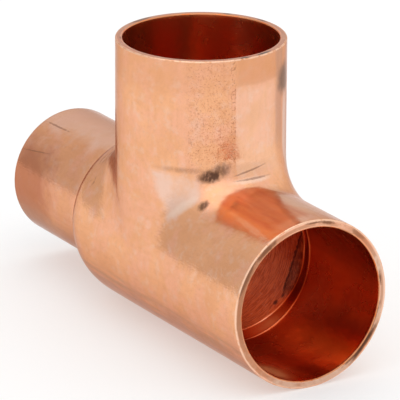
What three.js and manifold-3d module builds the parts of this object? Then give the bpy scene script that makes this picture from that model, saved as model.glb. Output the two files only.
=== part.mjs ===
// Reducing solder tee for copper water tube: 28.58 mm run, 22.23 mm reduced end, 28.58 mm branch.
// Millimetres. The origin is where the run axis (X) crosses the branch axis (Z).
// +X is the large run mouth, -X the reduced end, +Z the branch mouth.
import * as THREE from 'three';
import { ParametricGeometry } from 'three/addons/geometries/ParametricGeometry.js';
import { mergeGeometries, mergeVertices, toCreasedNormals } from 'three/addons/utils/BufferGeometryUtils.js';
import Module from 'manifold-3d';

const wasm = await Module();
wasm.setup();

// Outside of the fitting.
const RUN_R = 15.8;             // run barrel
const BRANCH_R = 15.65;         // branch barrel, a hair under the run so the two meet cleanly at the sides
const REDUCED_R = 12.4;         // reduced end
const RUN_END_X = 38.3;
const BRANCH_END_Z = 39.7;
const REDUCED_END_X = -48.5;
const RIM_BREAK = 0.2;          // small chamfer on every outer rim edge
const CROTCH_R_FRONT = 5.0;     // outside rounding where the branch leaves the top of the run
const CROTCH_R_SIDE = 21.0;     // and at the sides, where the two barrels almost touch tangent

// The body closes in to the reduced end along part of an ellipse. `reach` and `drop` are its
// half-axes along and across the run; it stops where it meets the smaller tube.
const SHOULDER = { startX: -17.2, fullR: RUN_R, smallR: REDUCED_R, reach: 7.1, drop: 4.5 };

// Waterway through the body.
const BODY_BORE_R = 13.6;
const BRANCH_BORE_R = 13.45;
const NECK_BORE_R = 10.5;
const INNER_CROTCH_R_FRONT = 1.5;
const INNER_CROTCH_R_SIDE = 10.0;
const INNER_SHOULDER = { startX: -16.0, fullR: BODY_BORE_R, smallR: NECK_BORE_R, reach: 6.2, drop: 4.1 };
const WATERWAY_INSET = 8.0;     // the waterway stops this far inside the mouths; the sockets finish it

// Tube sockets: radius, depth to the stop, and length of the sloped stop.
const LARGE_SOCKET = { radius: 14.35, depth: 23.1, stopLength: 1.3, boreRadius: BODY_BORE_R };
const BRANCH_SOCKET = { radius: 14.35, depth: 23.1, stopLength: 1.3, boreRadius: BRANCH_BORE_R };
const REDUCED_SOCKET = { radius: 11.16, depth: 19.05, stopLength: 1.4, boreRadius: NECK_BORE_R };
const MOUTH_BREAK = 0.25;       // chamfer on the inner edge of each mouth
const CUT_PAST_MOUTH = 1.0;     // the socket cutters run this far past the mouths

// How finely the curves are divided.
const HALF_TURN_STEPS = 32;
const CROTCH_STEPS = 6;
const SHOULDER_STEPS = 6;
const SOCKET_STEPS = 66;

// How far round its ellipse a shoulder runs before it meets the smaller tube.
function lastTurn(shoulder) {
  return Math.acos(1 - (shoulder.fullR - shoulder.smallR) / shoulder.drop);
}

// The outline of the body towards -X: the straight barrel for turn <= 0, then the shoulder ellipse.
// Gives the axial position, the radius and the outward normal (axial, radial).
function shoulderPoint(shoulder, turn) {
  const { startX, fullR, reach, drop } = shoulder;
  if (turn <= 0) return { x: startX - turn * reach, radius: fullR, normalX: 0, normalR: 1 };
  const length = Math.hypot(drop * Math.sin(turn), reach * Math.cos(turn));
  return {
    x: startX - reach * Math.sin(turn),
    radius: fullR - drop * (1 - Math.cos(turn)),
    normalX: -drop * Math.sin(turn) / length,
    normalR: reach * Math.cos(turn) / length,
  };
}

// Where a ball of the given radius, resting on the body towards -X with its centre at `centreX`, touches it.
function shoulderContact(shoulder, centreX, ballRadius) {
  let low = (shoulder.startX - 1) / shoulder.reach;
  let high = lastTurn(shoulder);
  for (let i = 0; i < 60; i += 1) {
    const middle = (low + high) / 2;
    const point = shoulderPoint(shoulder, middle);
    if (point.x + ballRadius * point.normalX > centreX) low = middle;
    else high = middle;
  }
  return (low + high) / 2;
}

// The rolling ball that rounds the crotch, for the direction `angle` around the branch axis, on the
// +X side (sign 1) or the -X side (sign -1). It touches the body and the branch barrel at once.
// toRun and toBranch point from its centre to the two contacts; `around` is the way out from the
// run axis to the contact, and `turn` its place along the shoulder outline.
function crotchBall(skin, sign, angle) {
  const sine = Math.sin(angle);
  const radius = skin.crotchFront + (skin.crotchSide - skin.crotchFront) * sine * sine;
  const x = sign * (skin.branchR + radius) * Math.cos(angle);
  const y = (skin.branchR + radius) * sine;
  const turn = sign > 0 ? -Infinity : shoulderContact(skin.shoulder, x, radius);
  const touch = shoulderPoint(skin.shoulder, sign > 0 ? 0 : turn);
  const distance = touch.radius + radius * touch.normalR;
  const z = Math.sqrt(distance * distance - y * y);
  const around = new THREE.Vector3(0, y / distance, z / distance);
  const toRun = around.clone().multiplyScalar(-touch.normalR).setX(-touch.normalX);
  const toBranch = new THREE.Vector3(-sign * Math.cos(angle), -sine, 0);
  return { centre: new THREE.Vector3(x, y, z), radius, toRun, toBranch, around, turn };
}

// A point on the crotch rounding: share 0 lies on the run barrel, share 1 on the branch barrel.
function crotchPoint(ball, share) {
  const turn = ball.toRun.angleTo(ball.toBranch);
  const runShare = turn < 1e-6 ? 1 - share : Math.sin((1 - share) * turn) / Math.sin(turn);
  const branchShare = turn < 1e-6 ? share : Math.sin(share * turn) / Math.sin(turn);
  const outwards = ball.toRun.clone().multiplyScalar(runShare).addScaledVector(ball.toBranch, branchShare);
  return outwards.multiplyScalar(ball.radius).add(ball.centre);
}

// Runs smoothly through a list of rows; rows[i](share) gives a point on row i.
function patch(rows, steps, flip) {
  const place = (u, v, target) => {
    const row = rows[Math.round(v * (rows.length - 1))];
    return target.copy(row(flip ? 1 - u : u));
  };
  return new ParametricGeometry(place, steps, rows.length - 1);
}

// Joins patches into one closed solid: shared edges are welded and flat-to-a-point triangles dropped.
function solidFrom(patches) {
  const joined = mergeGeometries(patches);
  joined.deleteAttribute('normal');
  joined.deleteAttribute('uv');
  const welded = mergeVertices(joined, 1e-4);
  const corners = welded.index.array;
  const kept = [];
  for (let i = 0; i < corners.length; i += 3) {
    const [a, b, c] = [corners[i], corners[i + 1], corners[i + 2]];
    if (a !== b && b !== c && c !== a) kept.push(a, b, c);
  }
  const mesh = new wasm.Mesh({
    numProp: 3,
    vertProperties: new Float32Array(welded.attributes.position.array),
    triVerts: new Uint32Array(kept),
  });
  return new wasm.Manifold(mesh);
}

// A tee-shaped solid: run barrel, branch barrel, rounded crotch and a shouldered reduced end.
// largeEnd, branchEnd and reducedEnd list [axial position, radius] from the end face inwards.
function teeSolid(skin) {
  const side = crotchBall(skin, 1, Math.PI / 2);
  const topHalf = Math.atan2(side.around.y, side.around.z);
  const angleAt = (share) => (share - 0.5) * Math.PI;
  const onRun = (x, radius, around) => around.clone().multiplyScalar(radius).setX(x);
  const shoulderSteps = Array.from({ length: SHOULDER_STEPS + 1 }, (_, step) => step / SHOULDER_STEPS);
  const shoulderEnd = lastTurn(skin.shoulder);

  // Rows of the upper half towards +X (sign 1) or -X (sign -1), from the run end up to the branch end.
  // On the shoulder the rows squeeze up where the crotch rounding comes down onto it.
  const upperRows = (sign, endProfile) => {
    const ballAt = (share) => crotchBall(skin, sign, angleAt(share));
    const along = ([x, radius]) => (share) => onRun(x, radius, ballAt(share).around);
    const onShoulder = (step) => (share) => {
      const ball = ballAt(share);
      const point = shoulderPoint(skin.shoulder, shoulderEnd + step * (Math.max(ball.turn, 0) - shoulderEnd));
      return onRun(point.x, point.radius, ball.around);
    };
    const rounding = (step) => (share) => crotchPoint(ballAt(share), step / CROTCH_STEPS);
    const up = ([z, radius]) => (share) => {
      const angle = angleAt(share);
      return new THREE.Vector3(sign * radius * Math.cos(angle), radius * Math.sin(angle), z);
    };
    return [
      ...endProfile.map(along),
      ...(sign < 0 ? shoulderSteps.map(onShoulder) : []),
      ...Array.from({ length: CROTCH_STEPS + 1 }, (_, step) => rounding(step)),
      ...skin.branchEnd.toReversed().map(up),
    ];
  };

  // The lower part of the run, in one sweep from the large end to the reduced end.
  const lowerRow = ([x, radius]) => (share) => {
    const angle = topHalf + share * 2 * (Math.PI - topHalf);
    return new THREE.Vector3(x, radius * Math.sin(angle), radius * Math.cos(angle));
  };
  const shoulderRows = shoulderSteps.map((step) => {
    const point = shoulderPoint(skin.shoulder, step * shoulderEnd);
    return [point.x, point.radius];
  });
  const lowerProfile = [...skin.largeEnd, [0, skin.runR], ...shoulderRows, ...skin.reducedEnd.toReversed()];

  return solidFrom([
    patch(upperRows(1, skin.largeEnd), HALF_TURN_STEPS, false),
    patch(upperRows(-1, skin.reducedEnd), HALF_TURN_STEPS, true),
    patch(lowerProfile.map(lowerRow), HALF_TURN_STEPS + 2, false),
  ]);
}

// End face and rim chamfer of a barrel; `inward` is the sign of the way into the fitting.
function rimProfile(end, radius, inward) {
  return [[end, 0], [end, radius - RIM_BREAK], [end + inward * RIM_BREAK, radius]];
}

function outsideSolid() {
  return teeSolid({
    runR: RUN_R,
    branchR: BRANCH_R,
    crotchFront: CROTCH_R_FRONT,
    crotchSide: CROTCH_R_SIDE,
    shoulder: SHOULDER,
    largeEnd: rimProfile(RUN_END_X, RUN_R, -1),
    branchEnd: rimProfile(BRANCH_END_Z, BRANCH_R, -1),
    reducedEnd: rimProfile(REDUCED_END_X, REDUCED_R, 1),
  });
}

function waterwayVoid() {
  const largeStop = RUN_END_X - WATERWAY_INSET;
  const branchStop = BRANCH_END_Z - WATERWAY_INSET;
  const reducedStop = REDUCED_END_X + WATERWAY_INSET;
  return teeSolid({
    runR: BODY_BORE_R,
    branchR: BRANCH_BORE_R,
    crotchFront: INNER_CROTCH_R_FRONT,
    crotchSide: INNER_CROTCH_R_SIDE,
    shoulder: INNER_SHOULDER,
    largeEnd: [[largeStop, 0], [largeStop, BODY_BORE_R]],
    branchEnd: [[branchStop, 0], [branchStop, BRANCH_BORE_R]],
    reducedEnd: [[reducedStop, 0], [reducedStop, NECK_BORE_R]],
  });
}

// Space for the tube end: bore, sloped stop and mouth chamfer, turned about the socket's own axis.
// The stop slope carries on a little past the waterway wall, so the two cutters cross cleanly.
function socketVoid(socket) {
  const { radius, depth, stopLength, boreRadius } = socket;
  const slope = (radius - boreRadius) / stopLength;
  const tipLength = stopLength * 1.5;
  const outline = [
    [0, -depth - tipLength],
    [radius - slope * tipLength, -depth - tipLength],
    [radius, -depth],
    [radius, -MOUTH_BREAK],
    [radius + MOUTH_BREAK, 0],
    [radius + MOUTH_BREAK, CUT_PAST_MOUTH],
    [0, CUT_PAST_MOUTH],
  ];
  const points = outline.map(([r, axial]) => new THREE.Vector2(r, axial));
  return new THREE.LatheGeometry(points, SOCKET_STEPS);
}

function largeSocketVoid() {
  return socketVoid(LARGE_SOCKET).rotateZ(-Math.PI / 2).translate(RUN_END_X, 0, 0);
}

function reducedSocketVoid() {
  return socketVoid(REDUCED_SOCKET).rotateZ(Math.PI / 2).translate(REDUCED_END_X, 0, 0);
}

function branchSocketVoid() {
  return socketVoid(BRANCH_SOCKET).rotateX(Math.PI / 2).translate(0, 0, BRANCH_END_Z);
}

function geometryOf(solid) {
  const mesh = solid.getMesh();
  const geometry = new THREE.BufferGeometry();
  geometry.setAttribute('position', new THREE.BufferAttribute(new Float32Array(mesh.vertProperties), 3));
  geometry.setIndex(new THREE.BufferAttribute(new Uint32Array(mesh.triVerts), 1));
  return toCreasedNormals(geometry, 0.5);
}

function teeBody() {
  const voids = [largeSocketVoid(), branchSocketVoid(), reducedSocketVoid()].map((one) => solidFrom([one]));
  let body = outsideSolid().subtract(waterwayVoid());
  for (const socket of voids) body = body.subtract(socket);
  const copper = new THREE.MeshStandardMaterial({ color: 0xd98c63, metalness: 1, roughness: 0.3 });
  const mesh = new THREE.Mesh(geometryOf(body), copper);
  mesh.name = 'tee_body';
  return mesh;
}

const tee = new THREE.Group();
tee.name = 'tee_fitting';
tee.add(teeBody());

export default tee;
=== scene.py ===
"""Looks for a drawn copper reducing tee. Metres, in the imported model's frame.

+X is the large run mouth, -X the reduced end, +Z the branch mouth. The visible fitting is one
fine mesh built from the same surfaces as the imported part: two barrels, a rolled crotch, a
shoulder down to the reduced end, and a stepped tube socket inside each mouth.
"""

import math
from types import SimpleNamespace

import bmesh
import bpy
import numpy as np
from mathutils import Matrix, Vector


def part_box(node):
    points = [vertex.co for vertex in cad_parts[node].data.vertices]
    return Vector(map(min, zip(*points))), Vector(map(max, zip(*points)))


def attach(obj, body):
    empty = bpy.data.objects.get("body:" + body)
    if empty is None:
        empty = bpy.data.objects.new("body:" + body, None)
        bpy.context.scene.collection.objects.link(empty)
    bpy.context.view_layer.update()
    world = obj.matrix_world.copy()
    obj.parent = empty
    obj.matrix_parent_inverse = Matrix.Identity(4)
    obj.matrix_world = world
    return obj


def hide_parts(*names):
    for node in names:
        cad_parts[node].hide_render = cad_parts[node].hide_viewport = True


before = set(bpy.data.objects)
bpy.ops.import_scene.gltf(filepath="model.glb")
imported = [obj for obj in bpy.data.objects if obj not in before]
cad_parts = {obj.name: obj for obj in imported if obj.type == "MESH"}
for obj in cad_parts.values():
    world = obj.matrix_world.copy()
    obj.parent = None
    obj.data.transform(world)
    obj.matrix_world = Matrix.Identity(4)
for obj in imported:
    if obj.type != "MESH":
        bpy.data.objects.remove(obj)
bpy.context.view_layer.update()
part_low, part_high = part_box("tee_body")
MM = 0.001

# ---------------------------------------------------------------- sizes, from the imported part
RUN_END = part_high.x
REDUCED_END = part_low.x
BRANCH_END = part_high.z
RUN_R = part_high.y

# The rest are the fitting's own inner sizes, which the part's box doesn't show.
BRANCH_R = RUN_R - 0.15 * MM
REDUCED_R = 12.4 * MM
BODY_BORE_R = 13.6 * MM
BRANCH_BORE_R = 13.45 * MM
NECK_BORE_R = 10.5 * MM
SOCKET_R = 14.35 * MM
REDUCED_SOCKET_R = 11.16 * MM
SOCKET_DEPTH = 23.1 * MM
REDUCED_SOCKET_DEPTH = 19.05 * MM
STOP_LENGTH = 1.3 * MM
REDUCED_STOP_LENGTH = 1.4 * MM
RIM_ROUND = 0.22 * MM
STOP_ROUND = 0.22 * MM
# The stop ring in the large mouth is out of true. Its shift along X, in millimetres, is RING_SHIFT, plus
# RING_RISE for each millimetre above the axis, less RING_SAG times the square of the depth below it. From
# RING_TRUE up it is true again, and it carries RING_REACH of the wall on either side with it.
RING_SHIFT = 0.2
RING_RISE = 0.25
RING_SAG = 0.010
RING_TRUE = 9.0
RING_REACH = 5 * MM

# The two skins: barrels, crotch ball radius at the front and at the sides, and the shoulder's ellipse.
OUTSIDE = {
    "run_r": RUN_R, "branch_r": BRANCH_R, "front": 5.0 * MM, "side": 21.0 * MM,
    "start": -17.2 * MM, "small_r": REDUCED_R, "reach": 7.1 * MM, "drop": 4.5 * MM,
}
INSIDE = {
    "run_r": BODY_BORE_R, "branch_r": BRANCH_BORE_R, "front": 1.5 * MM, "side": 10.0 * MM,
    "start": -16.0 * MM, "small_r": NECK_BORE_R, "reach": 6.2 * MM, "drop": 4.1 * MM,
}

# How finely the mesh is divided.
HALF_TURN = 116
LOWER_TURN = HALF_TURN + 8
BARREL_ROWS = 30
LEAD_ROWS = 24
CROTCH_ROWS = 22
SHOULDER_ROWS = 16
ROUND_ROWS = 4
FACE_ROWS = 4
ROW_STEP = 0.75 * MM
WELD = 1e-7

# How the outside's curvature is eased: rounds, and where along X and Z the easing fades out.
SOFTEN_ROUNDS = 12
SOFT_TOP = 24 * MM, 29 * MM
SOFT_FRONT = 25 * MM, 31 * MM
SOFT_BACK = -23.6 * MM, -21.5 * MM

OUTER, RIM, BORE = 0, 1, 2


# ---------------------------------------------------------------- surfaces
def last_turn(skin):
    """How far round its ellipse the shoulder runs before it meets the smaller tube."""
    return math.acos(1 - (skin["run_r"] - skin["small_r"]) / skin["drop"])


def shoulder_point(skin, turn):
    """Axial place, radius and outward normal (axial, radial) of the body outline towards -X."""
    bent = np.maximum(turn, 0.0)
    length = np.hypot(skin["drop"] * np.sin(bent), skin["reach"] * np.cos(bent))
    x = skin["start"] - skin["reach"] * np.where(turn > 0, np.sin(bent), turn)
    radius = skin["run_r"] - skin["drop"] * (1 - np.cos(bent))
    return x, radius, -skin["drop"] * np.sin(bent) / length, skin["reach"] * np.cos(bent) / length


def shoulder_contact(skin, centre_x, ball_r):
    """The place on that outline where a ball with its centre at centre_x rests, by halving."""
    low = np.full_like(centre_x, (skin["start"] - MM) / skin["reach"])
    high = np.full_like(centre_x, last_turn(skin))
    for _ in range(50):
        middle = (low + high) / 2
        x, _, normal_x, _ = shoulder_point(skin, middle)
        beyond = x + ball_r * normal_x > centre_x
        low, high = np.where(beyond, middle, low), np.where(beyond, high, middle)
    return (low + high) / 2


def crotch_ball(skin, sign, angle):
    """The ball that rounds the crotch, for each direction round the branch axis."""
    ball_r = skin["front"] + (skin["side"] - skin["front"]) * np.sin(angle) ** 2
    reach = skin["branch_r"] + ball_r
    x, y = sign * reach * np.cos(angle), reach * np.sin(angle)
    if sign > 0:
        turn = np.zeros_like(angle)
        touch_r, normal_x, normal_r = skin["run_r"], np.zeros_like(angle), np.ones_like(angle)
    else:
        turn = shoulder_contact(skin, x, ball_r)
        _, touch_r, normal_x, normal_r = shoulder_point(skin, turn)
    distance = touch_r + ball_r * normal_r
    z = np.sqrt(distance ** 2 - y ** 2)
    around = np.stack([0 * y, y / distance, z / distance], 1)
    to_run = -around * normal_r[:, None]
    to_run[:, 0] = -normal_x
    to_branch = np.stack([-sign * np.cos(angle), -np.sin(angle), 0 * y], 1)
    return {"centre": np.stack([x, y, z], 1), "r": ball_r, "to_run": to_run,
            "to_branch": to_branch, "around": around, "turn": turn}


def crotch_row(ball, share):
    """One row of the rounding: share 0 lies on the body, share 1 on the branch barrel."""
    bend = np.arccos(np.clip((ball["to_run"] * ball["to_branch"]).sum(1), -1, 1))
    safe = np.where(bend < 1e-6, 1.0, np.sin(bend))
    run_share = np.where(bend < 1e-6, 1 - share, np.sin((1 - share) * bend) / safe)
    branch_share = np.where(bend < 1e-6, share, np.sin(share * bend) / safe)
    out = ball["to_run"] * run_share[:, None] + ball["to_branch"] * branch_share[:, None]
    return ball["centre"] + ball["r"][:, None] * out


def ring_row(x, radius, around):
    """A row round the run axis, in the directions given."""
    row = around * np.reshape(radius, (-1, 1))
    row[:, 0] = x
    return row


def shares(rows):
    """Even shares from 0 to 1 that bound a number of rows."""
    return np.linspace(0, 1, rows + 1)


def steps(start, end):
    """Values from start to end, both included, no more than ROW_STEP apart."""
    return np.linspace(start, end, max(2, int(math.ceil(abs(end - start) / ROW_STEP)) + 1))


def upper_grid(skin, sign, end_profile, branch_profile):
    """Half of the top of a tee: from the run end over the crotch to the branch end.

    end_profile holds (x, radius) pairs from the run end inwards, branch_profile (z, radius)
    pairs from the branch end inwards. Both are clipped to where the crotch rounding starts.
    """
    angle = np.linspace(-math.pi / 2, math.pi / 2, HALF_TURN + 1)
    ball = crotch_ball(skin, sign, angle)
    contact = crotch_row(ball, 0.0)
    top = crotch_row(ball, 1.0)
    rows = []
    for x, radius in end_profile:
        if sign > 0:
            rows.append(ring_row(np.maximum(x, contact[:, 0]), radius, ball["around"]))
        else:
            rows.append(ring_row(x, radius, ball["around"]))
    if sign > 0:
        inner_x, inner_r = end_profile[-1]
        for share in shares(BARREL_ROWS)[1:]:
            start_x = np.maximum(inner_x, contact[:, 0])
            rows.append(ring_row(start_x + (contact[:, 0] - start_x) * share, inner_r, ball["around"]))
    else:
        end_turn = last_turn(skin)
        start_turn = np.maximum(ball["turn"], 0)
        for share in shares(SHOULDER_ROWS):
            x, radius, _, _ = shoulder_point(skin, end_turn + (start_turn - end_turn) * share)
            rows.append(ring_row(x, radius, ball["around"]))
        for share in shares(LEAD_ROWS)[1:]:
            x, radius, _, _ = shoulder_point(skin, start_turn + (ball["turn"] - start_turn) * share)
            rows.append(ring_row(x, radius, ball["around"]))
    for share in shares(CROTCH_ROWS)[1:]:
        rows.append(crotch_row(ball, share))
    flat = np.stack([sign * np.cos(angle), np.sin(angle)], 1)
    inner_z, inner_r = branch_profile[-1]
    end_z = np.maximum(inner_z, top[:, 2])
    for share in shares(BARREL_ROWS)[1:]:
        z = top[:, 2] + (end_z - top[:, 2]) * share
        rows.append(np.column_stack([flat * inner_r, z]))
    for z, radius in reversed(branch_profile[:-1]):
        rows.append(np.column_stack([flat * radius, np.maximum(z, top[:, 2])]))
    return np.stack(rows)


def lower_grid(skin, large_profile, reduced_profile):
    """The rest of the run, below the crotch, from the large end to the reduced end."""
    side = crotch_ball(skin, 1, np.array([math.pi / 2]))["around"][0]
    top_half = math.atan2(side[1], side[2])
    angle = np.linspace(top_half, 2 * math.pi - top_half, LOWER_TURN + 1)
    around = np.stack([0 * angle, np.sin(angle), np.cos(angle)], 1)
    profile = list(large_profile)
    inner_x = large_profile[-1][0]
    profile += [(inner_x * (1 - share), skin["run_r"]) for share in shares(BARREL_ROWS)[1:]]
    start_turn = skin["start"] / skin["reach"]
    for share in shares(LEAD_ROWS)[1:]:
        x, radius, _, _ = shoulder_point(skin, np.array([start_turn * (1 - share)]))
        profile.append((float(x[0]), float(radius[0])))
    for share in shares(SHOULDER_ROWS)[1:]:
        x, radius, _, _ = shoulder_point(skin, np.array([last_turn(skin) * share]))
        profile.append((float(x[0]), float(radius[0])))
    profile += list(reversed(reduced_profile))
    return np.stack([ring_row(x, radius, around) for x, radius in profile])


def rim_profile(end, outer_r, inward):
    """The rounded outer edge of an end, from its face back to the barrel."""
    turns = np.linspace(math.pi / 2, 0, ROUND_ROWS + 1)
    return [(end + inward * RIM_ROUND * (1 - math.sin(t)), outer_r - RIM_ROUND * (1 - math.cos(t)))
            for t in turns]


def rounded_corner(before, corner, after):
    """Points of the small rounding at a corner of a profile, from one side to the other."""
    before, corner, after = (Vector(point) for point in (before, corner, after))
    start = corner + (before - corner).normalized() * STOP_ROUND
    end = corner + (after - corner).normalized() * STOP_ROUND
    points = [start * (1 - t) ** 2 + corner * 2 * t * (1 - t) + end * t ** 2 for t in shares(ROUND_ROWS)]
    return [(point.x, point.y) for point in points]


def socket_profile(end, inward, socket_r, depth, stop_length, bore_r):
    """Mouth edge, socket bore, and the sloped stop with its small rounded corners."""
    turns = np.linspace(math.pi / 2, 0, ROUND_ROWS + 1)
    edge = [(end + inward * RIM_ROUND * (1 - math.sin(t)), socket_r + RIM_ROUND * (1 - math.cos(t)))
            for t in turns]
    bore = [(end + inward * d, socket_r) for d in steps(RIM_ROUND, depth)[1:]]
    bore = [(x, radius) for x, radius in bore if abs(x - end) < depth - 1.5 * STOP_ROUND]
    outer_corner, inner_corner = (depth, socket_r), (depth + stop_length, bore_r)
    before, past = (depth - 1, socket_r), (depth + stop_length + 1, bore_r)  # only their directions count
    stop = rounded_corner(before, outer_corner, inner_corner)
    stop += rounded_corner(outer_corner, inner_corner, past)
    return edge + bore + [(end + inward * d, radius) for d, radius in stop]


def face_grid(outer_row, inner_row):
    """The flat cut face between the last outer row and the first inner row of an end."""
    return np.stack([outer_row + (inner_row - outer_row) * s for s in shares(FACE_ROWS)])


def tee_grids():
    """All grids of the fitting, as (points, region) pairs."""
    large_out = rim_profile(RUN_END, RUN_R, -1)
    branch_out = rim_profile(BRANCH_END, BRANCH_R, -1)
    reduced_out = rim_profile(REDUCED_END, REDUCED_R, 1)
    shoulder_x = float(shoulder_point(OUTSIDE, np.array([last_turn(OUTSIDE)]))[0][0])
    reduced_out += [(x, REDUCED_R) for x in steps(reduced_out[-1][0], shoulder_x)[1:-1]]

    large_in = socket_profile(RUN_END, -1, SOCKET_R, SOCKET_DEPTH, STOP_LENGTH, BODY_BORE_R)
    branch_in = socket_profile(BRANCH_END, -1, SOCKET_R, SOCKET_DEPTH, STOP_LENGTH, BRANCH_BORE_R)
    reduced_in = socket_profile(REDUCED_END, 1, REDUCED_SOCKET_R, REDUCED_SOCKET_DEPTH,
                                REDUCED_STOP_LENGTH, NECK_BORE_R)
    neck_x = float(shoulder_point(INSIDE, np.array([last_turn(INSIDE)]))[0][0])
    reduced_in += [(x, NECK_BORE_R) for x in steps(reduced_in[-1][0], neck_x)[1:-1]]

    outer = [upper_grid(OUTSIDE, 1, large_out, branch_out),
             upper_grid(OUTSIDE, -1, reduced_out, branch_out),
             lower_grid(OUTSIDE, large_out, reduced_out)]
    inner = [upper_grid(INSIDE, 1, large_in, branch_in),
             upper_grid(INSIDE, -1, reduced_in, branch_in),
             lower_grid(INSIDE, large_in, reduced_in)]
    faces = [face_grid(outer[i][row], inner[i][row])
             for i, row in ((0, 0), (0, -1), (1, 0), (1, -1), (2, 0), (2, -1))]
    return [(g, OUTER) for g in outer] + [(g, BORE) for g in inner] + [(g, RIM) for g in faces]


def mesh_from_grids(name, grids):
    """Welds the grids into one closed mesh, each face marked with its region."""
    points, quads, regions = [], [], []
    base = 0
    for grid, region in grids:
        rows, columns = grid.shape[:2]
        points.append(grid.reshape(-1, 3))
        index = base + np.arange(rows * columns).reshape(rows, columns)
        quad = np.stack([index[:-1, :-1], index[1:, :-1], index[1:, 1:], index[:-1, 1:]], -1)
        quads.append(quad.reshape(-1, 4))
        regions.append(np.full(len(quads[-1]), region))
        base += rows * columns
    mesh = bpy.data.meshes.new(name)
    mesh.from_pydata(np.concatenate(points).tolist(), [], np.concatenate(quads).tolist())
    mesh.polygons.foreach_set("material_index", np.concatenate(regions).astype(np.int32))
    work = bmesh.new()
    work.from_mesh(mesh)
    bmesh.ops.remove_doubles(work, verts=work.verts, dist=WELD)
    bmesh.ops.dissolve_degenerate(work, edges=work.edges, dist=WELD)
    bmesh.ops.recalc_face_normals(work, faces=work.faces)
    open_edges = sum(1 for edge in work.edges if len(edge.link_faces) != 2)
    work.to_mesh(mesh)
    work.free()
    print("tee mesh:", len(mesh.vertices), "points,", len(mesh.polygons), "faces,",
          open_edges, "edges not shared by two faces")
    return mesh


def soften(mesh, rounds):
    """Eases the change of curvature where the barrels, the crotch and the shoulder meet.

    Each round moves every point towards the mean of its neighbours, by its weight.
    """
    count = len(mesh.vertices)
    co = np.empty(count * 3)
    mesh.vertices.foreach_get("co", co)
    co = co.reshape(-1, 3)
    edges = np.empty(len(mesh.edges) * 2, dtype=np.int64)
    mesh.edges.foreach_get("vertices", edges)
    edges = edges.reshape(-1, 2)
    degree = np.bincount(edges.ravel(), minlength=count)
    weight = soft_weight(co)
    for _ in range(rounds):
        total = np.zeros_like(co)
        for axis in range(3):
            total[:, axis] = (np.bincount(edges[:, 0], co[edges[:, 1], axis], count)
                              + np.bincount(edges[:, 1], co[edges[:, 0], axis], count))
        co += (total / degree[:, None] - co) * weight[:, None]
    mesh.vertices.foreach_set("co", co.ravel())
    mesh.update()


def smooth_step(value, low, high):
    """0 at low and below, 1 at high and above, eased between."""
    t = np.clip((value - low) / (high - low), 0, 1)
    return t * t * (3 - 2 * t)


def soft_weight(co):
    """1 over the crotch and the start of the shoulder, 0 at the rims, the sockets and the crease."""
    across = np.hypot(co[:, 1], co[:, 2])
    from_branch_axis = np.hypot(co[:, 0], co[:, 1])
    outside = (across > RUN_R - 4.2 * MM) & (from_branch_axis > BRANCH_R - 0.6 * MM)
    below_top = 1 - smooth_step(co[:, 2], *SOFT_TOP)
    behind_front = 1 - smooth_step(co[:, 0], *SOFT_FRONT)
    before_crease = smooth_step(co[:, 0], *SOFT_BACK)
    return 0.5 * below_top * behind_front * before_crease * outside


def lean_stop(mesh):
    """Pushes the stop ring in the large mouth out of true, and the wall beside it less and less."""
    stop_x = RUN_END - SOCKET_DEPTH - STOP_LENGTH
    for vertex in mesh.vertices:
        co = vertex.co
        height = co.z / MM
        across = math.hypot(co.y, co.z)
        if across < SOCKET_R + 0.05 * MM and height < RING_TRUE:
            share = 1 - min(abs(co.x - stop_x) / RING_REACH, 1.0)
            inside = min(max((SOCKET_R - across) / (SOCKET_R - BODY_BORE_R), 0.0), 1.0)
            bend = RING_SHIFT + RING_RISE * max(height, 0.0) - RING_SAG * min(height, 0.0) ** 2
            co.x += bend * MM * share * inside * (1 - max(height, 0.0) / RING_TRUE)


def tee_piece():
    """The fitting's one object, without its materials."""
    mesh = mesh_from_grids("copper_tee", tee_grids())
    soften(mesh, SOFTEN_ROUNDS)
    lean_stop(mesh)
    for polygon in mesh.polygons:
        polygon.use_smooth = True
    piece = bpy.data.objects.new("copper_tee", mesh)
    bpy.context.scene.collection.objects.link(piece)
    return piece


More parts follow.
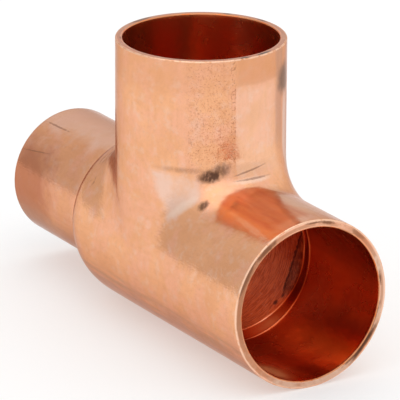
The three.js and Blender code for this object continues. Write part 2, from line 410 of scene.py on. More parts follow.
# ---------------------------------------------------------------- shader writing
class Shade:
    """Writes one material's nodes. A value is a number, a colour or another node's output."""

    def __init__(self, name):
        self.material = bpy.data.materials.new(name)
        self.material.use_nodes = True
        self.tree = self.material.node_tree
        self.shader = self.tree.nodes["Principled BSDF"]
        self.shader.inputs["Metallic"].default_value = 1.0
        place = self.tree.nodes.new("ShaderNodeTexCoord")
        self.place = self.vector("SCALE", place.outputs["Object"], scale=1 / MM)
        parts = self.tree.nodes.new("ShaderNodeSeparateXYZ")
        self.set(parts.inputs[0], self.place)
        self.x, self.y, self.z = parts.outputs

    def set(self, socket, value):
        """Links the value to the socket if it is a node's output, and writes it there if not."""
        if isinstance(value, bpy.types.NodeSocket):
            self.tree.links.new(value, socket)
        else:
            socket.default_value = value

    def math(self, operation, *values, clamp=False):
        node = self.tree.nodes.new("ShaderNodeMath")
        node.operation = operation
        node.use_clamp = clamp
        for socket, value in zip(node.inputs, values):
            self.set(socket, value)
        return node.outputs[0]

    def times(self, first, second):
        return self.math("MULTIPLY", first, second)

    def plus(self, first, second, clamp=False):
        return self.math("ADD", first, second, clamp=clamp)

    def minus(self, first, second, clamp=False):
        return self.math("SUBTRACT", first, second, clamp=clamp)

    def most(self, *values):
        result = values[0]
        for value in values[1:]:
            result = self.math("MAXIMUM", result, value)
        return result

    def length_of(self, first, second):
        """The length of a flat vector from its two parts."""
        return self.math("SQRT", self.plus(self.times(first, first), self.times(second, second)))

    def vector(self, operation, *values, scale=None):
        node = self.tree.nodes.new("ShaderNodeVectorMath")
        node.operation = operation
        for socket, value in zip(node.inputs, values):
            self.set(socket, value)
        if scale is not None:
            self.set(node.inputs["Scale"], scale)
        return node.outputs["Value" if operation in ("LENGTH", "DOT_PRODUCT") else "Vector"]

    def triple(self, x, y, z):
        node = self.tree.nodes.new("ShaderNodeCombineXYZ")
        for socket, value in zip(node.inputs, (x, y, z)):
            self.set(socket, value)
        return node.outputs[0]

    def noise(self, at, scale, detail=2.0, roughness=0.5):
        """Cloudy noise from 0 to 1 about 0.5; scale is blotches per millimetre."""
        node = self.tree.nodes.new("ShaderNodeTexNoise")
        self.set(node.inputs["Vector"], at)
        self.set(node.inputs["Scale"], scale)
        self.set(node.inputs["Detail"], detail)
        self.set(node.inputs["Roughness"], roughness)
        return node.outputs["Fac"]

    def smooth(self, value, low, high):
        """0 below low and 1 above high, or the other way about if low is the larger."""
        node = self.tree.nodes.new("ShaderNodeMapRange")
        node.interpolation_type = "SMOOTHSTEP"
        flip = low > high
        self.set(node.inputs["Value"], value)
        self.set(node.inputs["From Min"], min(low, high))
        self.set(node.inputs["From Max"], max(low, high))
        self.set(node.inputs["To Min"], 1.0 if flip else 0.0)
        self.set(node.inputs["To Max"], 0.0 if flip else 1.0)
        return node.outputs["Result"]

    def band(self, value, middle, half, soft):
        """1 within half of the middle, fading over soft on both sides."""
        away = self.math("ABSOLUTE", self.minus(value, middle))
        return self.smooth(away, half + soft, half)

    def tint(self, first, second, mask, strength=1.0):
        """The first colour, turned towards the second by the mask times the strength."""
        node = self.tree.nodes.new("ShaderNodeMix")
        node.data_type = "RGBA"
        self.set(node.inputs["Factor"], mask if strength == 1.0 else self.times(mask, strength))
        self.set(node.inputs["A"], first)
        self.set(node.inputs["B"], second)
        return node.outputs["Result"]

    def spot(self, centre, half, turn=0.0, tilt=0.0, roll=0.0, ragged=0.0, grain=1.2, soft=0.5,
             strength=1.0):
        """An ellipsoid mask: centre and half sizes in mm, rolled, tilted and turned in degrees.

        Its edge is soft, and made ragged by noise with that many blotches (grain) per millimetre.
        """
        node = self.tree.nodes.new("ShaderNodeMapping")
        node.vector_type = "TEXTURE"
        self.set(node.inputs["Vector"], self.place)
        self.set(node.inputs["Location"], centre)
        self.set(node.inputs["Rotation"], tuple(math.radians(a) for a in (roll, tilt, turn)))
        self.set(node.inputs["Scale"], half)
        away = self.vector("LENGTH", node.outputs[0])
        if ragged:
            uneven = self.minus(self.noise(self.place, grain, 4.0, 0.65), 0.5)
            away = self.plus(away, self.times(uneven, ragged))
        mask = self.smooth(away, 1.0 + soft, 1.0 - soft)
        return mask if strength == 1.0 else self.times(strength, mask)

    def bump(self, height, depth, before=None):
        """The normal of a relief: height 1 stands depth metres above height 0."""
        node = self.tree.nodes.new("ShaderNodeBump")
        node.inputs["Distance"].default_value = depth
        self.set(node.inputs["Height"], height)
        if before is not None:
            self.set(node.inputs["Normal"], before)
        return node.outputs[0]

    def finish(self, colour, roughness, normal):
        """Gives the shader its three varying inputs."""
        self.set(self.shader.inputs["Base Color"], colour)
        self.set(self.shader.inputs["Roughness"], roughness)
        self.set(self.shader.inputs["Normal"], normal)
        return self.material


# ---------------------------------------------------------------- copper
# Colours and masks work in millimetres. The faces of the three mouths:
FRONT_FACE = round(RUN_END / MM, 3)
BRANCH_FACE = round(BRANCH_END / MM, 3)
REDUCED_FACE = round(REDUCED_END / MM, 3)
DEGREES = 180 / math.pi

# The outside, from clean metal to soot.
BRIGHT = (0.90, 0.455, 0.245, 1)
PINK = (0.90, 0.45, 0.305, 1)
TAN = (0.79, 0.375, 0.19, 1)
PALE = (0.86, 0.58, 0.46, 1)
# painted highlights and sheen
GLEAM = (0.95, 0.70, 0.56, 1)
# a painted highlight colour
WHITE_PAINTED_HIGHLIGHT = (0.96, 0.78, 0.68, 1)
# used only for painted reflected shade on the reduced end
RUDDY = (0.47, 0.165, 0.09, 1)
RUST = (0.68, 0.30, 0.145, 1)
# a painted reflection colour
RED_PAINTED_REFLECTION = (0.70, 0.26, 0.17, 1)
DUSKY = (0.55, 0.31, 0.22, 1)
# a painted shade colour
GREY_PAINTED_SHADE = (0.22, 0.15, 0.12, 1)
BROWN = (0.26, 0.12, 0.07, 1)
SOOT = (0.085, 0.038, 0.025, 1)
EDGE_ON_TINT = (0.70, 0.58, 0.53, 1)
# The cut faces, and edges worn bright; the edge colours also paint highlights and light.
CUT = (0.60, 0.27, 0.15, 1)
CUT_BROWN = (0.44, 0.19, 0.10, 1)
CUT_PALE = (0.88, 0.66, 0.52, 1)
CUT_WARM = (0.84, 0.32, 0.17, 1)
STAIN = (0.20, 0.085, 0.045, 1)
EDGE = (0.95, 0.52, 0.34, 1)
WARM_EDGE = (0.95, 0.60, 0.42, 1)
# The bore.
DEEP = (0.80, 0.205, 0.055, 1)
DEEP_DARK = (0.55, 0.10, 0.026, 1)
DEEP_WORN = (0.90, 0.33, 0.135, 1)
# painted light, then a painted highlight
PAINTED_LIGHT_RED = (0.95, 0.32, 0.11, 1)
LIT = (0.99, 0.58, 0.26, 1)
# painted shade on the step, then the burr line and painted shade
STEP = (0.26, 0.038, 0.012, 1)
BURR_AND_SHADE_DARK = (0.10, 0.022, 0.009, 1)


def angle_round_branch(shade):
    """Degrees round the branch axis, from +X towards +Y."""
    return shade.times(shade.math("ARCTAN2", shade.y, shade.x), DEGREES)


def angle_round_run(shade):
    """Degrees round the run axis, from +Z towards +Y."""
    return shade.times(shade.math("ARCTAN2", shade.y, shade.z), DEGREES)


def mouth_wear(shade, scale, low, high):
    """Wear along the edges of the three mouths, with gaps where noise of that scale lies below low."""
    edge = shade.most(shade.smooth(shade.z, BRANCH_FACE - 0.30, BRANCH_FACE - 0.15),
                      shade.smooth(shade.x, FRONT_FACE - 0.30, FRONT_FACE - 0.15),
                      shade.smooth(shade.x, REDUCED_FACE + 0.30, REDUCED_FACE + 0.15))
    return shade.times(edge, shade.smooth(shade.noise(shade.place, scale, 3.0, 0.6), low, high))


# ---------------------------------------------------------------- the outside
def drawn_streaks(shade, branch_angle, run_angle):
    """Faint draw marks: along Z on the branch, along X on the run."""
    per_degree, per_mm = 0.27, 0.09
    up = shade.triple(shade.times(branch_angle, per_degree), shade.times(shade.z, per_mm), 0.0)
    along = shade.triple(shade.times(run_angle, per_degree), shade.times(shade.x, per_mm), 9.0)
    on_branch = shade.smooth(shade.z, 12.0, 19.0)
    on_run = shade.minus(1.0, on_branch)
    return shade.plus(shade.times(shade.noise(up, 1.0, 4.0, 0.6), on_branch),
                      shade.times(shade.noise(along, 1.0, 4.0, 0.6), on_run))


def outside_patterns(shade):
    """The patterns that the outside's colours and relief are built from."""
    branch, run = angle_round_branch(shade), angle_round_run(shade)
    blush = shade.noise(shade.vector("ADD", shade.place, (40.0, 0.0, 0.0)), 0.17, 4.0, 0.6)
    return SimpleNamespace(
        branch=branch, run=run, blush=blush,
        clouds=shade.noise(shade.place, 0.09, 3.0, 0.55),
        mottle=shade.noise(shade.place, 0.7, 5.0, 0.65),
        bleach=shade.noise(shade.vector("ADD", shade.place, (0.0, 30.0, 0.0)), 0.5, 4.0, 0.65),
        fine=shade.noise(shade.place, 2.6, 3.0, 0.6),
        streaks=drawn_streaks(shade, branch, run),
        wobble=shade.times(shade.minus(blush, 0.5), 5.0))


def mottled_copper(shade, pattern):
    """Pink, tan and pale blotches, from broad clouds to fine specks."""
    colour = shade.tint(BRIGHT, TAN, shade.smooth(pattern.clouds, 0.40, 0.66), 0.6)
    colour = shade.tint(colour, PINK, shade.smooth(pattern.blush, 0.44, 0.60), 0.6)
    colour = shade.tint(colour, TAN, shade.smooth(pattern.mottle, 0.45, 0.75), 0.5)
    colour = shade.tint(colour, TAN, shade.smooth(pattern.streaks, 0.42, 0.72), 0.35)
    colour = shade.tint(colour, DUSKY, shade.smooth(pattern.fine, 0.5, 0.8), 0.25)
    return shade.tint(colour, PALE, shade.smooth(pattern.bleach, 0.50, 0.68), 0.32)


def reduced_end_painted_reflections(shade, pattern, colour):
    """Painted reflections on the reduced end: darker and ruddy on its side, pale on top, dusky low down.
    """
    # painted reflected shade: the reduced end darker and ruddier
    reduced = shade.smooth(shade.plus(shade.x, pattern.wobble), -23.5, -27.5)
    colour = shade.tint(colour, RUDDY, reduced, 0.25)
    # painted reflected shade: a darker ruddy side
    ruddy = shade.spot((-44.0, -12.0, 0.0), (7.5, 6.0, 9.5), tilt=25.0, ragged=1.4, grain=0.3)
    colour = shade.tint(colour, RUDDY, ruddy, 0.75)
    # painted reflection: paler on top
    top = shade.smooth(shade.plus(shade.z, shade.times(pattern.wobble, 0.9)), 10.0, 12.0)
    top = shade.times(top, shade.smooth(shade.x, -19.0, -24.0))
    colour = shade.tint(colour, PALE, top, 0.55)
    # painted reflected shade: dusky low down
    low = shade.spot((-44.0, -10.5, -7.0), (8.0, 5.0, 4.0), ragged=1.0, grain=0.4, soft=0.6)
    return shade.tint(colour, DUSKY, low, 0.5)


def low_side_painted_shade(shade, pattern, colour):
    """A streaky painted shade low along the side of the body: a painted dark reflection."""
    # painted shade: a dark reflection low along the side
    low_shade_streak = shade.times(shade.band(pattern.run, -122.0, 7.0, 8.0), shade.smooth(pattern.streaks, 0.35, 0.6))
    return shade.tint(colour, DUSKY, low_shade_streak, 0.45)


def branch_marks(shade, pattern, colour):
    """The branch: rusty below its mouth; on one side a painted dark reflection streak and a painted white
    highlight bar, and a painted grey shade spot over them.
    """
    lip = shade.smooth(shade.plus(shade.z, shade.times(pattern.wobble, 0.15)), 34.3, 34.9)
    lip = shade.times(lip, shade.band(pattern.branch, 13.0, 17.0, 5.0))
    colour = shade.tint(colour, RUST, lip, 0.55)
    high_band = shade.smooth(shade.plus(shade.z, shade.times(pattern.wobble, 0.5)), 32.5, 35.0)
    colour = shade.tint(colour, RUST, high_band, 0.22)
    # painted shade: a dark reflection streak on one side of the branch
    painted_dark_streak = shade.band(shade.plus(pattern.branch, pattern.wobble), 33.5, 3.0, 4.0)
    painted_dark_streak = shade.times(painted_dark_streak, shade.smooth(shade.z, 17.0, 25.0))
    colour = shade.tint(colour, DUSKY, painted_dark_streak, 0.6)
    # painted highlight: a white upright bar
    painted_highlight_bar = shade.times(shade.band(pattern.branch, 44.0, 2.0, 3.5), shade.band(shade.z, 24.0, 3.0, 7.0))
    colour = shade.tint(colour, WHITE_PAINTED_HIGHLIGHT, painted_highlight_bar, 0.7)
    # painted shade: a grey spot over them
    painted_shade_spot = shade.spot((11.8, 10.4, 33.4), (2.6, 1.0, 2.6), turn=132.0, ragged=0.8, grain=0.5)
    return shade.tint(colour, GREY_PAINTED_SHADE, painted_shade_spot, 0.9)


def run_top_painted_reflections(shade, pattern, colour):
    """A painted red reflection, streaky, on the crown between the branch and the large mouth, and a
    painted highlight line beside it.
    """
    # painted reflection: red over the crown
    crown = shade.times(shade.band(pattern.run, -10.0, 14.0, 5.0), shade.smooth(shade.x, 17.5, 20.0))
    crown = shade.times(crown, shade.plus(0.35, shade.times(shade.smooth(shade.x, 36.5, 33.5), 0.65)))
    streaky = shade.plus(0.34, shade.times(shade.smooth(pattern.streaks, 0.4, 0.62), 0.36))
    colour = shade.tint(colour, RED_PAINTED_REFLECTION, shade.times(crown, streaky))
    # painted highlight: a bright line where the crotch rounding starts
    line = shade.spot((31.0, -8.1, 13.55), (7.0, 1.2, 0.32), turn=-4.7, tilt=2.9, ragged=1.0, grain=0.6)
    return shade.tint(colour, GLEAM, line, 0.6)


def pale_reflection_patch(shade, wobble):
    """A four-sided mask for a painted pale reflection low on the side of the branch: each side is a plane,
    facing in, and its level.
    """
    sides = (((0.815, 0.383, 0.435), 7.3), ((-0.623, -0.293, 0.726), 3.3),
             ((-0.092, -0.043, -0.995), -19.2), ((-0.828, -0.390, -0.403), -15.2))
    mask = 1.0
    for direction, level in sides:
        height = shade.plus(shade.vector("DOT_PRODUCT", shade.place, direction), wobble)
        mask = shade.times(mask, shade.smooth(height, level - 0.6, level + 1.6))
    return mask


def crotch_painted_reflections(shade, pattern, colour):
    """A painted pale reflection in the crotch, and painted highlights round it and along the crown."""
    patch = pale_reflection_patch(shade, shade.times(pattern.wobble, 0.7))
    # painted reflection: a pale patch, unevenly strong
    reflection_unevenness = shade.plus(0.4, shade.times(shade.smooth(pattern.blush, 0.38, 0.6), 0.45))
    colour = shade.tint(colour, PALE, shade.times(patch, reflection_unevenness))
    # painted highlights
    gleams = shade.most(
        shade.spot((13.4, -11.6, 12.9), (3.4, 1.5, 0.8), turn=28.0, tilt=-38.0, ragged=1.0, grain=0.7),
        shade.spot((36.6, -3.0, 15.5), (1.3, 5.0, 1.2), ragged=0.8, grain=0.5, soft=0.6, strength=0.6),
        shade.spot((27.5, 3.4, 15.3), (6.5, 2.4, 1.6), ragged=0.8, grain=0.5, soft=0.6),
        shade.spot((17.1, 0.6, 17.1), (3.6, 1.0, 0.45), turn=90.0, ragged=0.9, grain=0.8))
    return shade.tint(colour, GLEAM, gleams, 0.55)


def pitted_band(shade, pattern, colour):
    """Pitting in an upright band on the branch, thinning to one side, with a painted paler sheen on the
    other.
    """
    band_edge, band_edge_soft = -6.8, -7.6
    dense = shade.times(shade.smooth(pattern.branch, -15.0, -9.0),
                        shade.smooth(pattern.branch, band_edge, band_edge_soft))
    thin = shade.times(shade.band(pattern.branch, -24.0, 12.0, 8.0), 0.6)
    where = shade.times(shade.most(dense, thin), shade.smooth(shade.z, 17.0, 22.0))
    grains = shade.noise(shade.place, 3.4, 2.0, 0.7)
    coarse = shade.noise(shade.place, 1.1, 3.0, 0.7)
    pits = shade.plus(shade.smooth(grains, 0.56, 0.68), shade.times(shade.smooth(coarse, 0.57, 0.70), 0.7),
                      clamp=True)
    pits = shade.times(pits, where)
    rusty = shade.times(where, shade.smooth(coarse, 0.42, 0.62))
    colour = shade.tint(colour, RUST, rusty, 0.35)
    colour = shade.tint(colour, BROWN, pits, 0.55)
    # painted sheen: paler beside the pits
    painted_sheen = shade.times(shade.smooth(pattern.branch, band_edge_soft, band_edge),
                        shade.smooth(pattern.branch, 32.0, 24.0))
    painted_sheen = shade.times(painted_sheen, shade.band(shade.z, 26.0, 7.0, 3.0))
    return shade.tint(colour, GLEAM, painted_sheen, 0.18), pits


def score_marks(shade, wobble):
    """Thin brown scratches by the crotch and on the reduced end, and score rings on the shoulder."""
    scratches = shade.most(
        shade.spot((16.1, 0.7, 18.6), (3.2, 1.2, 0.16), turn=97.0, tilt=-9.0, ragged=1.4, grain=1.5),
        shade.spot((17.0, 1.0, 17.3), (3.0, 1.0, 0.15), turn=90.0, ragged=1.4, grain=1.5),
        shade.spot((-43.5, -5.4, 11.1), (3.6, 1.2, 0.09), turn=2.0, tilt=-1.0, ragged=2.2, grain=0.9),
        shade.spot((-43.8, -10.3, 6.9), (4.2, 1.2, 0.10), turn=3.0, tilt=-8.0, ragged=2.2, grain=0.9),
        shade.spot((-6.0, -13.6, 24.0), (0.9, 0.5, 5.0), turn=10.0, tilt=4.0, ragged=2.0, grain=0.9))
    rings = shade.math("PINGPONG", shade.plus(shade.x, wobble), 0.5)
    on_shoulder = shade.times(shade.smooth(shade.z, 7.0, 10.0), shade.band(shade.x, -17.9, 1.4, 0.4))
    rings = shade.times(shade.smooth(rings, 0.14, 0.02), on_shoulder)
    rings = shade.times(rings, shade.smooth(shade.noise(shade.place, 0.30, 3.0), 0.40, 0.52))
    return shade.most(scratches, rings)


def soot_marks(shade):
    """Two smudges in the crotch and a faint trail beside them, broken up by fine hairs."""
    smudges = shade.most(
        shade.spot((14.9, -6.8, 18.4), (2.1, 1.9, 1.1), turn=68.0, tilt=-12.0, ragged=0.7),
        shade.spot((15.4, -5.0, 19.2), (1.8, 1.5, 1.1), turn=72.0, tilt=-24.0, ragged=0.9, soft=0.6,
                   strength=0.75),
        shade.spot((16.8, -9.5, 13.8), (1.1, 1.3, 0.55), turn=60.0, tilt=-35.0, ragged=0.8, strength=0.85),
        shade.spot((11.5, -10.6, 19.2), (4.2, 1.8, 0.45), turn=38.0, ragged=0.9, grain=0.7, soft=0.8,
                   strength=0.35))
    hairs = shade.noise(shade.vector("MULTIPLY", shade.place, (1.0, 1.0, 0.4)), 1.8, 4.0, 0.6)
    return shade.times(smudges, shade.plus(0.55, shade.times(shade.smooth(hairs, 0.30, 0.55), 0.4)))


def outside_copper():
    """The outside: mottled, drawn copper with the marks of making and of handling over it, and painted
    reflections, shade and highlights.
    """
    shade = Shade("copper_outside")
    shade.shader.inputs["Specular Tint"].default_value = EDGE_ON_TINT
    pattern = outside_patterns(shade)
    colour = mottled_copper(shade, pattern)
    # some of these paint reflections, shade and highlights
    for marks in (reduced_end_painted_reflections, low_side_painted_shade, branch_marks, run_top_painted_reflections, crotch_painted_reflections):
        colour = marks(shade, pattern, colour)
    colour, pits = pitted_band(shade, pattern, colour)
    colour = shade.tint(colour, WARM_EDGE, mouth_wear(shade, 0.9, 0.34, 0.52))
    scores = score_marks(shade, pattern.wobble)
    colour = shade.tint(colour, BROWN, scores, 0.6)
    soot = soot_marks(shade)
    colour = shade.tint(colour, SOOT, soot)

    roughness = shade.plus(0.15, shade.times(shade.smooth(pattern.mottle, 0.35, 0.75), 0.10))
    roughness = shade.plus(roughness, shade.times(shade.most(soot, pits), 0.3), clamp=True)
    normal = shade.bump(pattern.clouds, 0.22 * MM)
    normal = shade.bump(pattern.mottle, 0.025 * MM, normal)
    normal = shade.bump(pattern.streaks, 0.02 * MM, normal)
    normal = shade.bump(pattern.fine, 0.008 * MM, normal)
    normal = shade.bump(shade.minus(1.0, shade.most(pits, scores)), 0.03 * MM, normal)
    return shade.finish(colour, roughness, normal)


# ---------------------------------------------------------------- the cut faces
def distance_across(shade):
    """Distance from the run axis, or near the branch mouth from the branch axis."""
    on_branch = shade.smooth(shade.z, 30.0, 31.0)
    on_run = shade.minus(1.0, on_branch)
    return shade.plus(shade.times(shade.length_of(shade.x, shade.y), on_branch),
                      shade.times(shade.length_of(shade.y, shade.z), on_run))


def broad_rim_tones(shade, broad, fine):
    """Warm and pale stretches of the cut faces: the front one is pale to one side and below."""
    colour = shade.tint(CUT, CUT_WARM, shade.smooth(broad, 0.42, 0.62))
    colour = shade.tint(colour, CUT_PALE, shade.smooth(fine, 0.50, 0.74), 0.40)
    stretches = (
        ((FRONT_FACE, 15.0, 2.0), (2.0, 3.0, 8.0), CUT_PALE, 0.6),
        ((FRONT_FACE, 0.0, -15.1), (2.0, 11.0, 4.0), CUT_PALE, 0.45),
        ((FRONT_FACE, 1.5, 15.1), (2.0, 9.0, 3.0), EDGE, 0.7),
        ((FRONT_FACE, -14.0, 4.0), (2.0, 5.0, 9.0), CUT_BROWN, 0.8),
    )
    for centre, half, tone, strength in stretches:
        stretch = shade.spot(centre, half, ragged=0.8, grain=0.4)
        colour = shade.tint(colour, tone, stretch, strength)
    return colour


def brown_rim_stains(shade):
    """Stains on the front face, then on the branch's, and fine specks over all of them."""
    front, branch = FRONT_FACE, BRANCH_FACE
    stains = shade.most(
        shade.spot((front, -9.4, 11.8), (1.0, 2.6, 0.5), roll=38.0, ragged=1.4, grain=1.6),
        shade.spot((front, -13.3, 7.4), (1.0, 0.35, 4.8), roll=-28.0, ragged=1.6, strength=0.9),
        shade.spot((front, 3.2, 14.9), (1.0, 1.6, 0.28), roll=-12.0, ragged=1.9, grain=2.6),
        shade.spot((front, 0.4, 15.3), (1.0, 1.6, 0.16), ragged=2.2, grain=2.6),
        shade.spot((front, 9.7, 11.6), (1.0, 1.6, 0.4), roll=-40.0, ragged=1.8, grain=2.2, strength=0.6),
        shade.spot((front, 14.6, 2.4), (1.0, 0.22, 1.1), roll=9.0, ragged=2.0, grain=2.6),
        shade.spot((front, 11.5, -9.5), (1.0, 0.38, 3.6), roll=-40.0, ragged=1.3, grain=1.6),
        shade.spot((front, 8.6, -11.9), (1.0, 0.25, 1.8), roll=-54.0, ragged=1.9, grain=2.2),
        shade.spot((15.2, 0.1, branch), (0.30, 1.0, 0.6), ragged=1.6, grain=2.4),
        shade.spot((14.6, 4.3, branch), (0.30, 1.7, 0.6), turn=17.0, ragged=1.6, grain=2.4),
        shade.spot((-14.4, -4.3, branch), (0.5, 2.6, 0.6), turn=17.0, ragged=1.2, grain=1.4),
        shade.spot((-6.6, -12.9, branch), (0.9, 0.3, 0.6), turn=-27.0, ragged=1.6, grain=2.4),
        shade.spot((-9.7, 11.5, branch), (0.8, 0.35, 0.6), turn=40.0, ragged=1.6, grain=2.4),
        shade.spot((-3.2, 14.8, branch), (1.2, 0.3, 0.6), turn=12.0, ragged=1.8, grain=2.0))
    specks = shade.smooth(shade.noise(shade.place, 2.4, 2.0), 0.66, 0.74)
    return shade.most(stains, shade.times(specks, 0.7))


def black_rim_stains(shade):
    """Blackened lengths of the inner edge of the front face, and two on the branch's."""
    return shade.most(
        shade.spot((FRONT_FACE, 11.3, -9.4), (1.0, 0.40, 3.6), roll=-40.0, ragged=1.1, grain=1.4),
        shade.spot((FRONT_FACE, 13.6, -5.0), (1.0, 0.20, 3.0), roll=-20.0, ragged=1.5, grain=1.4,
                   strength=0.8),
        shade.spot((15.2, 0.1, BRANCH_FACE), (0.40, 0.9, 0.6), ragged=1.5, grain=2.4),
        shade.spot((14.5, 4.4, BRANCH_FACE), (0.40, 1.6, 0.6), turn=17.0, ragged=1.5, grain=2.4))


def rim_copper():
    """The cut faces: paler and duller, faintly ringed by the saw, stained and nicked in places, with
    painted highlights along their edges.
    """
    shade = Shade("copper_rim")
    fine = shade.noise(shade.place, 1.3, 4.0, 0.7)
    broad = shade.noise(shade.place, 0.22, 3.0, 0.6)
    across = distance_across(shade)
    colour = broad_rim_tones(shade, broad, fine)
    middle = shade.times(shade.band(across, 15.0, 0.20, 0.20), shade.smooth(broad, 0.40, 0.55))
    colour = shade.tint(colour, CUT_BROWN, middle, 0.6)
    # painted highlights along the inner and outer edges of the cut faces
    edges = shade.most(shade.smooth(across, 14.70, 14.45), shade.smooth(across, 15.35, 15.60))
    edges = shade.times(edges, shade.smooth(broad, 0.35, 0.5))
    colour = shade.tint(colour, WARM_EDGE, edges, 0.8)
    colour = shade.tint(colour, STAIN, brown_rim_stains(shade), 0.85)
    colour = shade.tint(colour, SOOT, black_rim_stains(shade), 0.85)

    saw = shade.triple(shade.times(across, 5.0), shade.times(shade.y, 0.3), shade.times(shade.x, 0.3))
    roughness = shade.plus(0.24, shade.times(fine, 0.22))
    normal = shade.bump(fine, 0.05 * MM)
    normal = shade.bump(shade.noise(saw, 1.0, 2.0), 0.03 * MM, normal)
    return shade.finish(colour, roughness, normal)


# ---------------------------------------------------------------- the bore
def ring_bend(shade):
    """How far the stop ring is out of true at each height, as in lean_stop."""
    above, below = shade.math("MAXIMUM", shade.z, 0.0), shade.math("MINIMUM", shade.z, 0.0)
    bend = shade.plus(RING_SHIFT, shade.times(above, RING_RISE))
    bend = shade.minus(bend, shade.times(shade.times(below, below), RING_SAG))
    fade = shade.minus(1.0, shade.math("DIVIDE", above, RING_TRUE), clamp=True)
    return shade.times(bend, fade)


def socket_tones(shade, colour):
    """The large socket: painted shade deep in it by the stop and low down on one side, painted light high
    up and to one side, one painted highlight.
    """
    # painted highlight near the mouth, also made rougher
    glint = shade.spot((33.0, -4.6, -13.5), (4.0, 2.9, 1.6), ragged=0.6, grain=0.4, soft=0.6)
    colour = shade.tint(colour, LIT, glint)
    # painted shade deep in the socket, by the stop
    near_stop = shade.times(shade.smooth(shade.x, 24.0, 17.0), shade.smooth(shade.x, 15.1, 15.4))
    colour = shade.tint(colour, DEEP_DARK, near_stop, 0.6)
    # painted shade low down on one side
    painted_low_shade = shade.most(
        shade.spot((29.0, 9.5, -10.8), (9.0, 5.0, 5.0), ragged=0.8, grain=0.3, soft=0.7),
        shade.spot((35.4, 1.6, -14.2), (3.4, 3.2, 1.6), ragged=0.8, grain=0.3, soft=0.6, strength=0.6))
    colour = shade.tint(colour, BURR_AND_SHADE_DARK, painted_low_shade, 0.6)
    # painted light high up and to one side
    painted_light_high = shade.most(shade.spot((24.0, 13.3, 4.5), (11.0, 6.0, 5.5), ragged=0.8, grain=0.3, soft=0.7),
                       shade.times(shade.smooth(shade.z, 15.0, 20.0), 0.6))
    return shade.tint(colour, PAINTED_LIGHT_RED, painted_light_high, 0.55), glint


def stop_tones(shade, leaned, low, colour):
    """The step is painted dark, a painted shade, and both its corners carry painted highlights."""
    outer_corner, inner_corner = 15.22, 13.88
    # painted shade on the step
    step = shade.times(shade.smooth(leaned, 13.6, 14.0), shade.smooth(shade.x, 15.3, 15.1))
    colour = shade.tint(colour, STEP, step, 0.9)
    # painted highlights along both corners
    corners = shade.most(shade.band(shade.x, outer_corner, 0.10, 0.12),
                         shade.band(leaned, inner_corner, 0.10, 0.12))
    return shade.tint(colour, WARM_EDGE, shade.times(corners, low))


def tooling_tones(shade, rings, past_stop, colour):
    """Dark grooves between the turning marks past the stop, and pale crumbs left on them."""
    grooves = shade.times(shade.smooth(rings, 0.56, 0.44), past_stop)
    colour = shade.tint(colour, DEEP_DARK, grooves, 0.75)
    crumbs = shade.times(shade.smooth(shade.noise(shade.place, 3.0, 2.0), 0.60, 0.70), past_stop)
    return shade.tint(colour, PALE, crumbs, 0.35)


def burr_line(shade, leaned, colour):
    """A dark, uneven burr line that swings away from the stop ring and back, browned between them."""
    shaky = shade.noise(shade.place, 0.9, 4.0, 0.65)
    from_turn = shade.plus(shade.z, 4.4)
    line_x = shade.plus(10.8, shade.times(shade.times(from_turn, from_turn), 0.05))
    off_line = shade.plus(shade.minus(shade.x, line_x), shade.times(shade.minus(shaky, 0.5), 1.6))
    beside = shade.times(shade.band(angle_round_run(shade), 88.0, 34.0, 12.0),
                         shade.smooth(leaned, 13.95, 13.6))
    browned = shade.times(shade.smooth(off_line, -0.6, 0.7), beside)
    uneven = shade.plus(0.35, shade.times(shade.smooth(shaky, 0.40, 0.58), 0.35))
    colour = shade.tint(colour, BURR_AND_SHADE_DARK, shade.times(browned, uneven))
    burr = shade.most(shade.times(shade.band(off_line, 0.0, 0.12, 0.30), beside),
                      shade.spot((12.0, 10.6, -8.5), (0.3, 2.2, 0.5), roll=-45.0, ragged=0.9),
                      shade.spot((11.4, 9.4, -9.9), (0.5, 0.6, 0.4), ragged=1.2, grain=2.0))
    return shade.tint(colour, BURR_AND_SHADE_DARK, burr, 0.9)


def bore_copper():
    """Inside: a deep red annealing layer, marked at the stop ring, with painted shade, light and
    highlights, ringed by tooling past the stop.
    """
    shade = Shade("copper_bore")
    clouds = shade.noise(shade.place, 0.16, 3.0, 0.6)
    low = shade.smooth(shade.z, 14.0, 11.0)
    leaned = shade.minus(shade.x, ring_bend(shade))
    past_stop = shade.times(shade.smooth(leaned, 14.0, 13.2), low)
    tooling = shade.triple(shade.times(shade.x, 4.2), shade.times(shade.y, 0.5), shade.times(shade.z, 0.5))
    rings = shade.noise(tooling, 1.0, 3.0, 0.6)

    colour = shade.tint(DEEP, DEEP_DARK, shade.smooth(clouds, 0.35, 0.7), 0.6)
    # painted light in the branch bore
    branch_glow = shade.spot((-6.3, 12.9, 34.0), (2.2, 2.2, 5.0), ragged=0.9, grain=0.5, soft=0.7)
    colour = shade.tint(colour, EDGE, branch_glow, 0.45)
    colour = shade.tint(colour, DEEP_WORN, past_stop, 0.85)
    colour, glint = socket_tones(shade, colour)
    colour = stop_tones(shade, leaned, low, colour)
    colour = tooling_tones(shade, rings, past_stop, colour)
    colour = burr_line(shade, leaned, colour)
    colour = shade.tint(colour, RUST, mouth_wear(shade, 0.7, 0.36, 0.54), 0.8)

    roughness = shade.plus(0.24, shade.times(past_stop, 0.16))
    roughness = shade.plus(roughness, shade.times(shade.smooth(clouds, 0.4, 0.7), 0.06))
    roughness = shade.plus(roughness, shade.times(glint, 0.28))
    normal = shade.bump(clouds, 0.12 * MM)
    normal = shade.bump(shade.noise(shade.place, 0.8, 1.0), 0.005 * MM, normal)
    normal = shade.bump(shade.times(rings, past_stop), 0.07 * MM, normal)
    return shade.finish(colour, roughness, normal)


# ---------------------------------------------------------------- stage and light
WORLD_LEVEL = 1.0
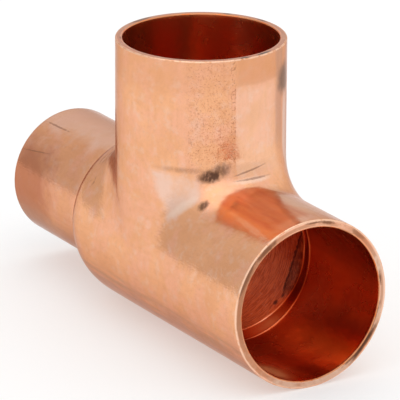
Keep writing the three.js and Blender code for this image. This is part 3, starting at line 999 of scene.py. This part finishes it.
# Soft boxes and dark gaps of the light tent: direction, cosines of the outer and inner edge, strength.
TENT = (
    ((0.1, -0.2, 1.0), 0.70, 0.97, 0.40),
    ((-0.80, -0.58, 0.14), 0.45, 1.0, -0.26),
    ((-0.85, 0.50, 0.30), 0.75, 1.0, -0.12),
    ((0.81, 0.49, 0.33), 0.80, 0.99, -0.10),
)
FLOOR_SIZE = 4.0
FLOOR_GREY = 0.60
FLOOR_ROUGHNESS = 0.9
FLOOR_GLOW = 0.38         # the shooting table is lit a little from below
WHITE = (1, 1, 1, 1)


def sky_lobe(tree, direction, low, high, strength, before):
    """Adds strength to the world's brightness, or to WORLD_LEVEL, within a soft cone about a direction."""
    dot = tree.nodes.new("ShaderNodeVectorMath")
    dot.operation = "DOT_PRODUCT"
    tree.links.new(tree.nodes["direction"].outputs["Generated"], dot.inputs[0])
    dot.inputs[1].default_value = Vector(direction).normalized()
    soft = tree.nodes.new("ShaderNodeMapRange")
    soft.interpolation_type = "SMOOTHSTEP"
    tree.links.new(dot.outputs["Value"], soft.inputs["Value"])
    soft.inputs["From Min"].default_value = low
    soft.inputs["From Max"].default_value = high
    soft.inputs["To Max"].default_value = strength
    add = tree.nodes.new("ShaderNodeMath")
    add.operation = "ADD"
    if before is None:
        add.inputs[0].default_value = WORLD_LEVEL
    else:
        tree.links.new(before, add.inputs[0])
    tree.links.new(soft.outputs["Result"], add.inputs[1])
    return add.outputs[0]


def light_tent():
    """A white world, brighter overhead and a little darker to three sides."""
    scene = bpy.context.scene
    scene.view_settings.view_transform = "Standard"
    world = bpy.data.worlds.new("studio")
    world.use_nodes = True
    tree = world.node_tree
    tree.nodes.new("ShaderNodeTexCoord").name = "direction"
    level = None
    for direction, low, high, strength in TENT:
        level = sky_lobe(tree, direction, low, high, strength, level)
    tree.links.new(level, tree.nodes["Background"].inputs["Strength"])
    tree.nodes["Background"].inputs["Color"].default_value = WHITE
    scene.world = world


def pale_floor():
    """The floor under the fitting."""
    bpy.ops.mesh.primitive_plane_add(size=FLOOR_SIZE, location=(0, 0, part_low.z))
    floor = bpy.context.object
    floor.name = "floor"
    material = bpy.data.materials.new("pale_floor")
    material.use_nodes = True
    shader = material.node_tree.nodes["Principled BSDF"]
    shader.inputs["Base Color"].default_value = (FLOOR_GREY, FLOOR_GREY, FLOOR_GREY, 1)
    shader.inputs["Roughness"].default_value = FLOOR_ROUGHNESS
    shader.inputs["Emission Color"].default_value = WHITE
    shader.inputs["Emission Strength"].default_value = FLOOR_GLOW
    floor.data.materials.append(material)


# ---------------------------------------------------------------- camera
CAMERA_AZIMUTH = 58.98
CAMERA_ELEVATION = 18.95
CAMERA_ROLL = 0.25
CAMERA_DISTANCE = 55.96   # in run radii, as are the two offsets
CAMERA_RIGHT = -0.003
CAMERA_UP = 0.496
FIELD_WIDTH = 1 / 12.0    # width of the view over its distance
SENSOR = 36.0
CLIP = 0.01, 10.0


def camera():
    """Looks at the run's middle from the given direction, through a long lens."""
    azimuth, elevation = math.radians(CAMERA_AZIMUTH), math.radians(CAMERA_ELEVATION)
    back = Vector((math.sin(azimuth) * math.cos(elevation),
                   -math.cos(azimuth) * math.cos(elevation),
                   math.sin(elevation)))
    right = Vector((0, 0, 1)).cross(back).normalized()
    up = back.cross(right)
    cosine, sine = math.cos(math.radians(CAMERA_ROLL)), math.sin(math.radians(CAMERA_ROLL))
    right, up = right * cosine + up * sine, up * cosine - right * sine
    data = bpy.data.cameras.new("camera")
    data.sensor_width = SENSOR
    data.lens = SENSOR / FIELD_WIDTH
    data.clip_start, data.clip_end = CLIP
    piece = bpy.data.objects.new("camera", data)
    place = (back * CAMERA_DISTANCE + right * CAMERA_RIGHT + up * CAMERA_UP) * RUN_R
    piece.matrix_world = Matrix.Translation(place) @ Matrix((right, up, back)).transposed().to_4x4()
    bpy.context.scene.collection.objects.link(piece)
    bpy.context.scene.camera = piece


# ---------------------------------------------------------------- the scene
camera()
light_tent()
pale_floor()
tee = tee_piece()
for material in (outside_copper(), rim_copper(), bore_copper()):
    tee.data.materials.append(material)
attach(tee, "root")
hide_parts("tee_body")
